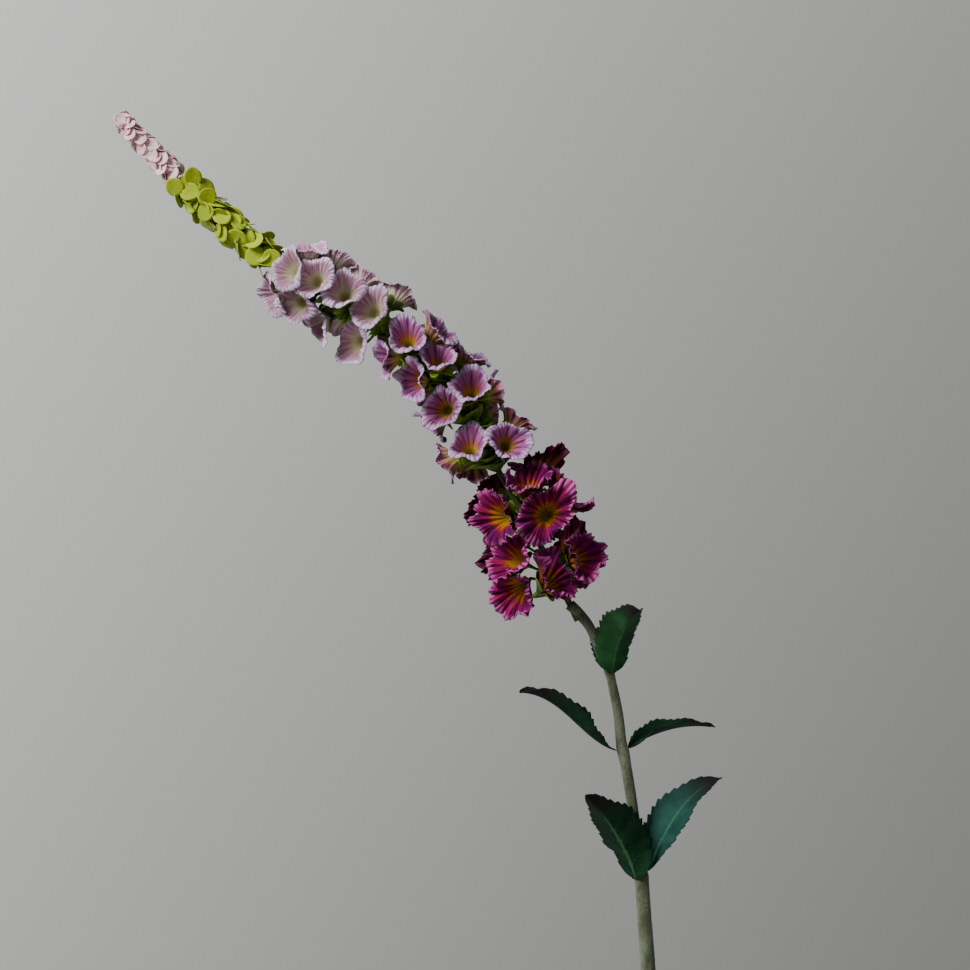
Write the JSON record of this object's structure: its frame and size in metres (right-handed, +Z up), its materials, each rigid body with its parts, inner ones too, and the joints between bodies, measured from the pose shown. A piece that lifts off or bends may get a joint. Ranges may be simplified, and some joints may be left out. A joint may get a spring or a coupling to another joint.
{
  "type": "foxtail lily stem in vase",
  "caption": "Fabric foxtail lily stem with a bowed flower spike, leaning in a long-necked matte stoneware bottle vase.",
  "frame": {"origin": "centre of the vase's flat foot, on the surface that it stands on", "axes": "+Z up along the vase's axis; -Y is the front that the picture sees; the spike bows away to -X and its tip comes a little forward to -Y"},
  "size_m": [0.4164, 0.132, 0.8391],
  "materials": {
    "vase_glaze": "matte stoneware",
    "stem_flock": "grey-green flock over plastic",
    "calyx_green": "moulded plastic, matte",
    "leaf_fabric": "printed cloth, pressed veins",
    "floret_lilac": "dyed cloth, crimped",
    "floret_mauve": "dyed cloth, crimped",
    "floret_magenta": "dyed cloth, crimped",
    "bell_lime": "dyed cloth discs",
    "bud_pink": "dyed cloth petals"
  },
  "bodies": {
    "root": {"vase": "vase_glaze", "stem": "stem_flock", "spike": "calyx_green", "bells_lime": "bell_lime", "buds_pink": "bud_pink", "leaf_lower_left": "leaf_fabric", "leaf_lower_right": "leaf_fabric", "leaf_middle_left": "leaf_fabric", "leaf_middle_right": "leaf_fabric", "leaf_upper_left": "leaf_fabric", "leaf_upper_right": "leaf_fabric", "floret_lilac_01": "floret_lilac", "floret_lilac_02": "floret_lilac", "floret_lilac_03": "floret_lilac", "floret_lilac_04": "floret_lilac", "floret_lilac_05": "floret_lilac", "floret_lilac_06": "floret_lilac", "floret_lilac_07": "floret_lilac", "floret_lilac_08": "floret_lilac", "floret_lilac_09": "floret_lilac", "floret_lilac_10": "floret_lilac", "floret_lilac_11": "floret_lilac", "floret_lilac_12": "floret_lilac", "floret_lilac_13": "floret_lilac", "floret_lilac_14": "floret_lilac", "floret_lilac_15": "floret_lilac", "floret_lilac_16": "floret_lilac", "floret_mauve_01": "floret_mauve", "floret_mauve_02": "floret_mauve", "floret_mauve_03": "floret_mauve", "floret_mauve_04": "floret_mauve", "floret_mauve_05": "floret_mauve", "floret_mauve_06": "floret_mauve", "floret_mauve_07": "floret_mauve", "floret_mauve_08": "floret_mauve", "floret_mauve_09": "floret_mauve", "floret_mauve_10": "floret_mauve", "floret_mauve_11": "floret_mauve", "floret_mauve_12": "floret_mauve", "floret_mauve_13": "floret_mauve", "floret_mauve_14": "floret_mauve", "floret_mauve_15": "floret_mauve", "floret_mauve_16": "floret_mauve", "floret_mauve_17": "floret_mauve", "floret_mauve_18": "floret_mauve", "floret_mauve_19": "floret_mauve", "floret_magenta_01": "floret_magenta", "floret_magenta_02": "floret_magenta", "floret_magenta_03": "floret_magenta", "floret_magenta_04": "floret_magenta", "floret_magenta_05": "floret_magenta", "floret_magenta_06": "floret_magenta", "floret_magenta_07": "floret_magenta", "floret_magenta_08": "floret_magenta", "floret_magenta_09": "floret_magenta", "floret_magenta_10": "floret_magenta", "floret_magenta_11": "floret_magenta", "floret_magenta_12": "floret_magenta", "floret_magenta_13": "floret_magenta"}
  },
  "joints": []
}
